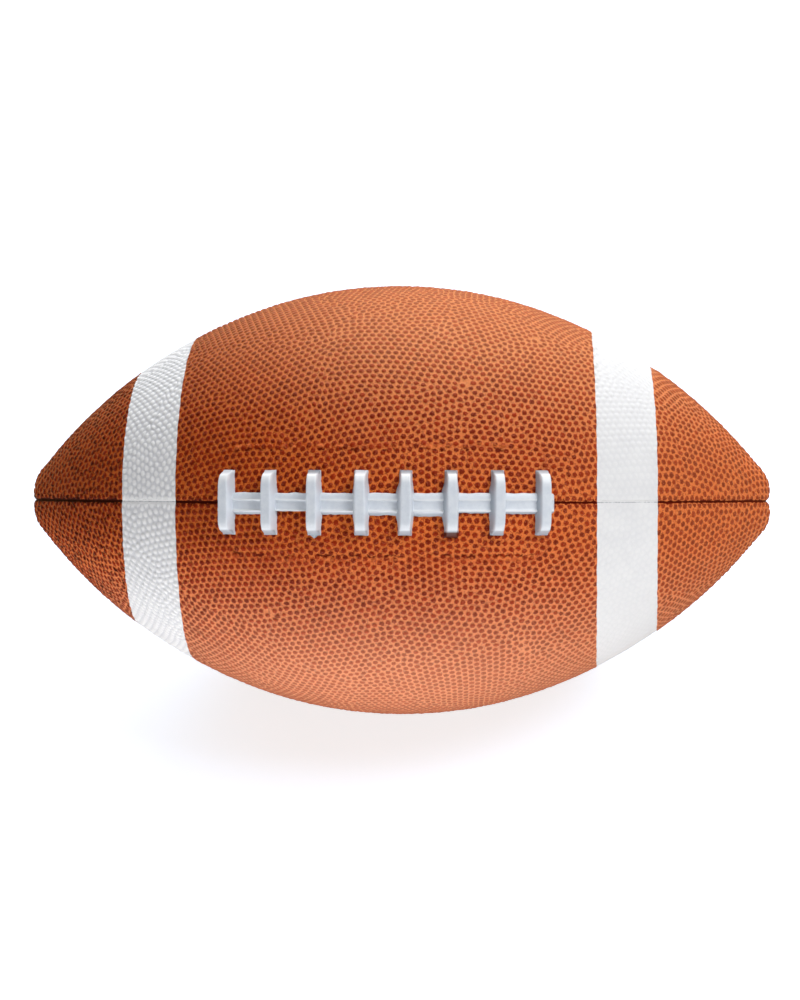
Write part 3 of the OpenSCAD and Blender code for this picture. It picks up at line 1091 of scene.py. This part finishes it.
# Cross lace: rows of points and how they crowd at its ends, and the round where its top meets an end face
LACE_ROWS = 47
LACE_CROWDING = 1.7
LACE_ROUND = 0.25
# Foot beside the strip: where its flare starts to fade and how fast above and below, where the top end
# starts to narrow, over what length and by how much, and length and size of the waves of its edges
FLARE_FROM = 4.0
FLARE_FADES = (2.0, 3.2)
NARROW_FROM = 5
NARROW_OVER = 4
NARROW_BY = 0.8
FOOT_WAVE = (2.1, 0.16)
# How much of the narrowing towards the crown the walls take up
DRAFT_SHARE = 0.6
# Length of an end's trim and how much narrower it is, its waves, and the length that a lean bends
END_L = 0.6
END_NARROWER = 0.05
END_WAVE = (1.6, 0.12)
LEAN_OVER = 10
# The lace with a burr at its lower end, and the one whose lower end is stretched and bare of white
BURR_LACE = 3
BURR_L = 1.5
BURR_HALF_W = 1.3
BARE_LACE = 6
BARE_STRETCH = 0.8
STRETCH_L = 1.5
BARE_L = 1.45
BARE_RAMP = 0.2
# Length of the end faces with painted shade below and above, and place and width of the band of painted
# highlight before them
FACET_LOW = 2.1
FACET_TOP = 1.5
FACET_RAMP = 0.35
BRIGHT_AT = 9.4
BRIGHT_W = 1.5
# How strong that painted highlight is above and below, how far up the walls and how low the crown reach,
# and the lace after which the left walls get painted shade
BRIGHT_SHARES = (0.9, 0.3)
WALL_RISE = 0.3
CROWN_RISE = 0.7
SHADED_AFTER = 3
SHADED_SHARE = 0.75
# Half widths and heights of a cross lace's section, as shares from its foot to its crown
LACE_SIDE = ((1.0, -0.3), (1.0, 0.02), (0.97, 0.1), (0.9, 0.5), (0.84, 0.84), (0.78, 0.955), (0.68, 0.99),
             (0.35, 0.985), (0.0, 0.975))
# Own unevenness of each moulded lace: shift along the ball, narrowing at the top end,
# flare of the foot's left and right edge beside the strip, shift of the lower end, and shade of the top end
LACE_HABITS = (
    (0.1, 0.2, 0.0, 0.3, 0.0, 0.3),
    (-0.4, 0.2, 0.1, 0.35, 0.0, 0.4),
    (-0.3, 0.1, 0.4, 0.45, 0.1, 1.0),
    (0.45, 0.0, 0.5, 0.4, -0.1, 0.3),
    (0.2, 0.3, 1.0, 0.3, 0.35, 0.9),
    (0.05, 0.35, 0.9, 0.1, 0.0, 1.0),
    (0.2, 0.2, 0.8, 0.2, 0.3, 1.0),
    (-0.25, 0.1, 0.2, 0.3, 0.1, 0.7),
)


def lace_half_width(number, y, side, rise):
    """Half width of a cross lace at each point: its section, flared, narrowed and wavy at the foot."""
    narrow, flare_left, flare_right = LACE_HABITS[number - 1][1:4]
    flare = np.where(side < 0, flare_left, flare_right) * clip01(1 - rise)
    fade = np.where(y > 0, *FLARE_FADES)
    foot = LACE_FOOT_W / 2 + flare * np.exp(-(np.clip(np.abs(y) - FLARE_FROM, 0, None) / fade) ** 2)
    foot = foot - NARROW_BY * narrow * clip01((y - NARROW_FROM) / NARROW_OVER)
    wave = ripple(y, np.sign(side) * 3, *FOOT_WAVE, number) * clip01(1 - rise) ** 2
    half = foot * np.abs(side) + wave * (np.abs(side) > 0.9)
    draft = 1 - (1 - LACE_TOP_W / LACE_FOOT_W) * clip01(rise) * DRAFT_SHARE
    return half * np.where(np.abs(side) < 0.95, draft, 1)


def cross_lace(number):
    """Moulded bar over the strip: arched, steep at its ends, with drafted walls and a wavy foot."""
    shift, _, _, _, lean, shade = LACE_HABITS[number - 1]
    place = LACE_SHIFT + (number - (LACE_COUNT + 1) / 2) * LACE_PITCH + shift
    left_half = np.array(LACE_SIDE) * (-1, 1)
    section = np.concatenate((left_half, np.array(LACE_SIDE)[-2::-1]))
    piece, column, row = grid_piece("lace_" + str(number), len(section), LACE_ROWS)
    side, rise = section[column].T
    t = np.linspace(-1, 1, LACE_ROWS)
    y = (LACE_L / 2 * np.sign(t) * (1 - (1 - np.abs(t)) ** LACE_CROWDING))[row]
    sag = y ** 2 / BALL_D
    arch = LACE_H - LACE_DROOP * np.clip(np.abs(y) - LACE_FLAT, 0, None) ** 2 + sag
    ramp = (LACE_L / 2 - np.abs(y)) * math.tan(LACE_END_ANGLE) + 0.05
    rounded = LACE_ROUND / 4 * clip01(1 - np.abs(arch - ramp) / LACE_ROUND) ** 2
    height = np.where(rise < 0, rise, (np.minimum(arch, ramp) - rounded) * rise)
    end = clip01((np.abs(y) - LACE_L / 2 + END_L) / END_L)
    x = np.sign(side) * lace_half_width(number, y, side, rise) * (1 - END_NARROWER * end)
    if number == BURR_LACE:
        y = y - BURR_L * clip01(1 - np.abs(x) / BURR_HALF_W) * (y < -LACE_L / 2 + 0.5)
    x = x - lean * clip01(-y / LEAN_OVER) ** 2
    y = y + ripple(x, y * 0, *END_WAVE, number + 20) * end
    bare = np.zeros(len(y))
    if number == BARE_LACE:
        y = y - BARE_STRETCH * clip01(-y - LACE_L / 2 + STRETCH_L)
        bare = clip01((-y - LACE_L / 2 + BARE_L) / BARE_RAMP)
    points = at_lacing(place, x, y, height - sag)
    # Masks for colour: painted shade on the lower end faces, walls and top ledges, darker on the left walls
    # of the later laces, and a painted highlight band before the ends
    from_end = np.abs(y) - LACE_L / 2 + np.where(y < 0, FACET_LOW, FACET_TOP)
    facet = clip01(from_end / FACET_RAMP) * (rise > 0.1)
    wall = clip01((1 - rise) / WALL_RISE) * (1 - facet)
    shaded = wall * (side < 0) * clip01((number - SHADED_AFTER) / 3)
    bright = dent((1, BRIGHT_W), np.abs(y) - BRIGHT_AT)
    bright = bright * (rise > CROWN_RISE) * np.where(y > 0, *BRIGHT_SHARES)
    ledge = facet * (y > 0) * shade
    facet = np.maximum(facet * (y < 0), SHADED_SHARE * shaded)
    traits = {"facet": facet, "ledge": ledge, "wall": wall, "bright": bright, "bare": bare}
    shape_piece(piece, points, traits)
    return piece


# Section of the strip: place across the seam, positive to the top, and height over the cover
STRIP_SECTION = (
    (-4.75, -0.35), (-4.7, 0.1), (-4.45, 0.45), (-4.0, 0.65), (-3.65, 0.85), (-3.42, 1.15), (-3.2, 1.45),
    (-2.95, 1.55), (-2.65, 1.45), (-2.45, 1.25), (-2.2, 1.15), (-1.4, 1.08), (-0.6, 0.98), (0.0, 0.92),
    (0.45, 0.94), (0.68, 1.08), (0.85, 1.3), (1.08, 1.44), (1.35, 1.42), (1.6, 1.37), (2.3, 1.26),
    (3.0, 1.12), (3.35, 0.9), (3.5, 0.45), (3.55, 0.0), (3.6, -0.35),
)
STRIP_ROWS = 241
# Length of the rounding at the strip's ends, and how much narrower they get
STRIP_ROUND = 0.8
END_TAPER = 0.2
# Length, size and seed of the waves of the strip's edges, course and top, and of the fine streaks along
# its top; where the edges begin, how many times longer than wide the streaks are, and where the flange is
EDGE_WAVES = ((3.0, 0.28, 31), (1.2, 0.12, 32))
COURSE_WAVE = (7.0, 0.14, 33)
TOP_WAVE = (2.4, 0.06, 34)
TOP_STREAKS = (0.55, 0.09, 35)
EDGE_FROM = 3.0
EDGE_OVER = 0.6
STREAK_SHAPE = 9
FLANGE_FROM = 3.1
# How far the strip's lower edge is trimmed back between the cross laces, from the first pair to the last
STRIP_TRIMS = (0.25, 1.45, 0.3, 0.1, -0.2, 0.9, 0.65)
# Places of the channel between the rails, which gets painted shade, and of the two rails' tops, which get a
# painted highlight, each with its half width
CHANNEL = (-0.15, 0.9)
BRIGHT_RAILS = ((1.05, 0.3), (-2.8, 0.35))


def lace_strip():
    """Moulded strip along the seam under the laces: two rails with a channel between, and wavy edges."""
    half_l = ((LACE_COUNT - 1) * LACE_PITCH + LACE_FOOT_W + 2 * STRIP_END) / 2
    section = np.array(STRIP_SECTION)
    piece, column, row = grid_piece("lace_strip", len(section), STRIP_ROWS)
    along = half_l * np.linspace(-1, 1, STRIP_ROWS)[row]
    x = along + LACE_SHIFT
    end = clip01((np.abs(along) - half_l + STRIP_ROUND) / STRIP_ROUND)
    y, z = section[column].T
    wave = sum(ripple(x, np.sign(y), *values) for values in EDGE_WAVES)
    y = y + np.sign(y) * wave * clip01((np.abs(y) - EDGE_FROM) / EDGE_OVER)
    window = np.clip((x - LACE_SHIFT) / LACE_PITCH + (LACE_COUNT - 2) / 2, 0, LACE_COUNT - 2)
    flange = clip01(-y - FLANGE_FROM)
    y = y + flange * np.array(STRIP_TRIMS)[np.rint(window).astype(int)]
    y = y + ripple(x, x * 0, *COURSE_WAVE)
    z = z + (ripple(x, y, *TOP_WAVE) + ripple(x / STREAK_SHAPE, y, *TOP_STREAKS)) * (z > 0.5)
    z = np.where(z > 0, z * np.sqrt(clip01(1 - end ** 2)), z)
    y = y * (1 - END_TAPER * end ** 2)
    arc = arc_at_place(x)
    points, normals = on_ball(arc, y / radius_at(arc))
    channel = dent((1.0, CHANNEL[1]), y - CHANNEL[0])
    ridge = sum(dent((0.9, width), y - place) for place, width in BRIGHT_RAILS)
    # Painted shade in the channel and on the lower flange, and painted highlights on the rails' tops
    traits = {"facet": 0.05 * channel + 0.75 * flange, "wall": 0.2 * channel, "bright": ridge}
    shape_piece(piece, points + normals * z[:, None], traits)
    return piece


lace_rubber = make_lace_rubber()
for number in range(1, LACE_COUNT + 1):
    finish_piece(cross_lace(number), "cross_lace_" + str(number), lace_rubber)
finish_piece(lace_strip(), "lace_strip", lace_rubber)


# Valve

SPUN_STEPS = 72


def spun(name, profile):
    """Piece turned about the valve's axis, from distances from that axis and from the ball's centre."""
    mesh = bpy.data.meshes.new(name)
    points = [(r * MM, 0, z * MM) for r, z in profile]
    mesh.from_pydata(points, [(k, k + 1) for k in range(len(points) - 1)], [])
    piece = add_object(name, mesh)
    bpy.ops.object.select_all(action="DESELECT")
    piece.select_set(True)
    bpy.context.view_layer.objects.active = piece
    turn = piece.modifiers.new("turn", "SCREW")
    turn.steps = turn.render_steps = SPUN_STEPS
    turn.use_merge_vertices = True
    turn.merge_threshold = 0.00001
    bpy.ops.object.modifier_apply(modifier=turn.name)
    turn_faces_out()
    bpy.ops.object.shade_smooth_by_angle(angle=math.radians(35))
    return piece


def seat_at_valve(piece, follow_beyond):
    """Stands a spun piece in the valve's hole. Beyond a given radius it follows the ball's curve."""
    count = len(piece.data.vertices)
    flat = np.empty(count * 3, np.float32)
    piece.data.vertices.foreach_get("co", flat)
    flat = flat.reshape(count, 3).astype(float) / MM
    wide = np.hypot(flat[:, 0], flat[:, 1]) > follow_beyond
    flat[:, 2] -= wide * (flat[:, 1] ** 2 / BALL_D + flat[:, 0] ** 2 / (2 * BELLY_R))
    out = outward(np.array(VALVE_TURN))
    side = np.cross(out, ALONG)
    points = flat[:, :1] * ALONG + flat[:, 1:2] * side + flat[:, 2:] * out
    move_points(piece, points)


def valve_boot():
    """Rubber stem with a rounded lip round the plug, a barrel below the bladder and a wide flange on it."""
    seat = VALVE_RIM - PLUG_HEAD_T - VALVE_GAP
    under = VALVE_TOP - FLANGE_T
    bore = PLUG_R + VALVE_GAP
    mouth = PLUG_HEAD_R + VALVE_GAP
    profile = (
        (bore, VALVE_FOOT), (BARREL_R - 0.8, VALVE_FOOT), (BARREL_R - 0.2, VALVE_FOOT + 0.25),
        (BARREL_R, VALVE_FOOT + 0.9), (BARREL_R, under - 1.2), (BARREL_R + 0.5, under - 0.3),
        (BARREL_R + 1.5, under), (FLANGE_R - 0.7, under + 0.25), (FLANGE_R, VALVE_TOP - 0.6),
        (FLANGE_R - 0.4, VALVE_TOP - 0.15), (FLANGE_R - 1.5, VALVE_TOP), (STEM_R + 1.0, VALVE_TOP),
        (STEM_R, VALVE_TOP + 0.3), (STEM_R, VALVE_RIM - 0.45), (STEM_R - 0.12, VALVE_RIM - 0.15),
        (STEM_R - 0.4, VALVE_RIM), (PLUG_HEAD_R + 0.35, VALVE_RIM), (PLUG_HEAD_R + 0.12, VALVE_RIM - 0.12),
        (mouth, VALVE_RIM - 0.35), (mouth, seat), (bore, seat), (bore, VALVE_FOOT),
    )
    piece = spun("valve_stem_and_flange", profile)
    seat_at_valve(piece, BARREL_R + 0.3)
    return piece


def valve_plug():
    """Plug in the boot, with a shallow dish and a rounded entry for the inflating needle."""
    under = VALVE_RIM - PLUG_HEAD_T
    profile = (
        (0.0, VALVE_FOOT), (PLUG_R - 0.5, VALVE_FOOT), (PLUG_R, VALVE_FOOT + 0.5), (PLUG_R, under),
        (PLUG_HEAD_R, under), (PLUG_HEAD_R, VALVE_RIM - 0.3), (PLUG_HEAD_R - 0.1, VALVE_RIM - 0.08),
        (PLUG_HEAD_R - 0.35, VALVE_RIM), (NEEDLE_R + 1.3, VALVE_RIM - 0.06),
        (NEEDLE_R + 0.7, VALVE_RIM - 0.2), (NEEDLE_R + 0.3, VALVE_RIM - 0.45),
        (NEEDLE_R + 0.02, VALVE_RIM - 0.9), (NEEDLE_R, VALVE_RIM - 1.2),
        (NEEDLE_R, VALVE_RIM - NEEDLE_DEPTH), (0.0, VALVE_RIM - NEEDLE_DEPTH - 0.02),
    )
    piece = spun("valve_needle_plug", profile)
    seat_at_valve(piece, FLANGE_R)
    return piece


def make_soft_rubber(name, colour, wear_and_shade, rough):
    """Rubber with a fine matt grain and faint paler wear."""
    f = Finish(name)
    f.set("Base Color", f.mix(f.speckle(2.5, 0.45, 0.75, 0.0, 0.6), colour, wear_and_shade))
    f.set("Roughness", f.speckle(0.9, 0.3, 0.7, rough - 0.06, rough + 0.06))
    f.bump(f.noise(0.35), 0.04, 0.5)
    return f.material


def make_thread(name, colour, pale, step_mm):
    """Wound or woven thread: fine ridges in two directions."""
    f = Finish(name)
    ridges = []
    for way in (0.6, -0.7):
        turn = f.node("VectorRotate", {"Vector": f.place(), "Angle": way}, rotation_type="Z_AXIS")
        inputs = {"Vector": turn.outputs["Vector"], "Scale": 1 / (step_mm * MM * 3.2), "Distortion": 1.5}
        ridges.append(f.node("TexWave", inputs, bands_direction="X").outputs["Fac"])
    ridge = f.math("MAXIMUM", *ridges)
    f.set("Base Color", f.mix(ridge, colour, pale))
    f.set("Roughness", 0.6)
    f.bump(ridge, 0.2, 0.8)
    return f.material


valve_rubber = make_soft_rubber("valve_rubber", (58, 34, 26), (82, 52, 40), 0.5)
plug_rubber = make_soft_rubber("plug_rubber", (38, 36, 36), (62, 60, 60), 0.42)
finish_piece(valve_boot(), "valve_boot", valve_rubber)
finish_piece(valve_plug(), "valve_plug", plug_rubber)

# Layers under the cover, which keep their shapes
for node, material, slot in (
    ("lace_pad", make_thread("pad_fabric", (176, 160, 134), (214, 202, 180), 0.5), "pad_fabric"),
    ("carcass", make_soft_rubber("carcass_rubber", (70, 46, 36), (96, 66, 52), 0.62), "carcass_rubber"),
    ("thread_winding", make_thread("nylon_thread", (196, 192, 182), (236, 233, 226), 0.35), "nylon_thread"),
    ("bladder", make_soft_rubber("butyl_rubber", (30, 30, 32), (50, 50, 53), 0.45), "butyl_rubber"),
):
    dress(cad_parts[node], material)


# Floor, light and camera, in metres

FLOOR_AT = -BALL_D / 2 * MM
FLOOR_SIZE = 12
# Tone of the floor as the camera, reflections and all else see it
FLOOR_SEEN = (169.6, 187.5, 215.1)
FLOOR_MIRRORED = (148.9, 148.9, 148.9)
FLOOR_PLAIN = (231.1, 231.1, 231.1)
# Glow of the floor, what the camera alone sees more of it, and the faint light from all round
FLOOR_GLOW = 0.2
SEEN_GLOW = 0.6
WORLD_FILL = 0.02
MIDDLE = (0, 0, 0)
# Soft lights: name, place, size, power in watts and the point that each is turned to
LAMPS = (
    ("overhead", (0, 0.1, 1.3), (1.2, 1.2), 5.6, MIDDLE),
    ("behind", (-0.12, 1.1, 0.9), (1.4, 0.6), 17.5, MIDDLE),
    ("right_top", (0.8, -0.2, 1.1), (0.6, 0.6), 10.4, MIDDLE),
    ("low_front", (-0.45, -1.25, 0), (1.2, 0.14), 3.0, MIDDLE),
    ("floor_near", (-0.16, -0.22, FLOOR_AT + 0.001), (0.7, 0.2), 0.85, (-0.16, -0.22, 1)),
)


def stage_floor():
    bpy.ops.object.select_all(action="DESELECT")
    bpy.ops.mesh.primitive_plane_add(size=FLOOR_SIZE, location=(0, 0, FLOOR_AT))
    floor = bpy.context.object
    floor.name = "floor"
    f = Finish("floor_white")
    f.set("Roughness", 0.9)
    f.set("Specular IOR Level", 0.1)
    f.set("Emission Color", (1, 1, 1, 1))
    path = f.node("LightPath")
    seen = path.outputs["Is Camera Ray"]
    f.set("Base Color", f.layers(
        FLOOR_PLAIN,
        (seen, FLOOR_SEEN),
        (path.outputs["Is Glossy Ray"], FLOOR_MIRRORED),
    ))
    f.set("Emission Strength", f.plus(f.times(seen, SEEN_GLOW), FLOOR_GLOW))
    floor.data.materials.append(f.material)


def lamp(name, place, size, power, aim):
    """Rectangular soft light at a place, turned to the point that it lights."""
    light = bpy.data.lights.new(name, "AREA")
    light.shape = "RECTANGLE"
    light.size, light.size_y = size
    light.energy = power
    holder = add_object(name, light)
    holder.location = place
    holder.rotation_euler = (Vector(aim) - Vector(place)).to_track_quat("-Z", "Y").to_euler()
    holder.visible_camera = False


def add_world():
    """White all round to the camera, and a faint fill light to everything else."""
    world = bpy.data.worlds.new("studio")
    bpy.context.scene.world = world
    world.use_nodes = True
    nodes = world.node_tree.nodes
    path = nodes.new("ShaderNodeLightPath")
    strength = nodes.new("ShaderNodeMapRange")
    strength.inputs["To Min"].default_value = WORLD_FILL
    world.node_tree.links.new(path.outputs["Is Camera Ray"], strength.inputs["Value"])
    world.node_tree.links.new(strength.outputs["Result"], nodes["Background"].inputs["Strength"])
    nodes["Background"].inputs["Color"].default_value = (1, 1, 1, 1)


stage_floor()
for values in LAMPS:
    lamp(*values)
add_world()

# Camera: its distance, its turn to the right of the lacing and above it, and the lens
CAMERA_AWAY = 1.061
CAMERA_YAW = math.radians(4.395)
CAMERA_PITCH = math.radians(0.711)
CAMERA_ROLL = math.radians(0.067)
FOCAL_PIXELS = 2692
SENSOR_W = 36
PICTURE_W = 800
CENTRE_PIXEL_X = 398.15


def add_camera():
    camera = bpy.data.cameras.new("camera")
    holder = add_object("camera", camera)
    back = math.cos(CAMERA_PITCH) * (math.sin(CAMERA_YAW) * ALONG + math.cos(CAMERA_YAW) * TO_LACING)
    back = back + math.sin(CAMERA_PITCH) * OVER_TOP
    right = math.cos(CAMERA_YAW) * ALONG - math.sin(CAMERA_YAW) * TO_LACING
    up = np.cross(back, right)
    turned = Matrix((right, up, back)).transposed().to_4x4() @ Matrix.Rotation(CAMERA_ROLL, 4, "Z")
    holder.matrix_world = Matrix.Translation(back * CAMERA_AWAY) @ turned
    camera.sensor_fit = "HORIZONTAL"
    camera.sensor_width = SENSOR_W
    camera.lens = FOCAL_PIXELS / PICTURE_W * camera.sensor_width
    camera.shift_x = (PICTURE_W / 2 - CENTRE_PIXEL_X) / PICTURE_W
    camera.dof.use_dof = False
    camera.clip_end = 50
    bpy.context.scene.camera = holder


add_camera()
bpy.context.scene.view_settings.view_transform = "Standard"
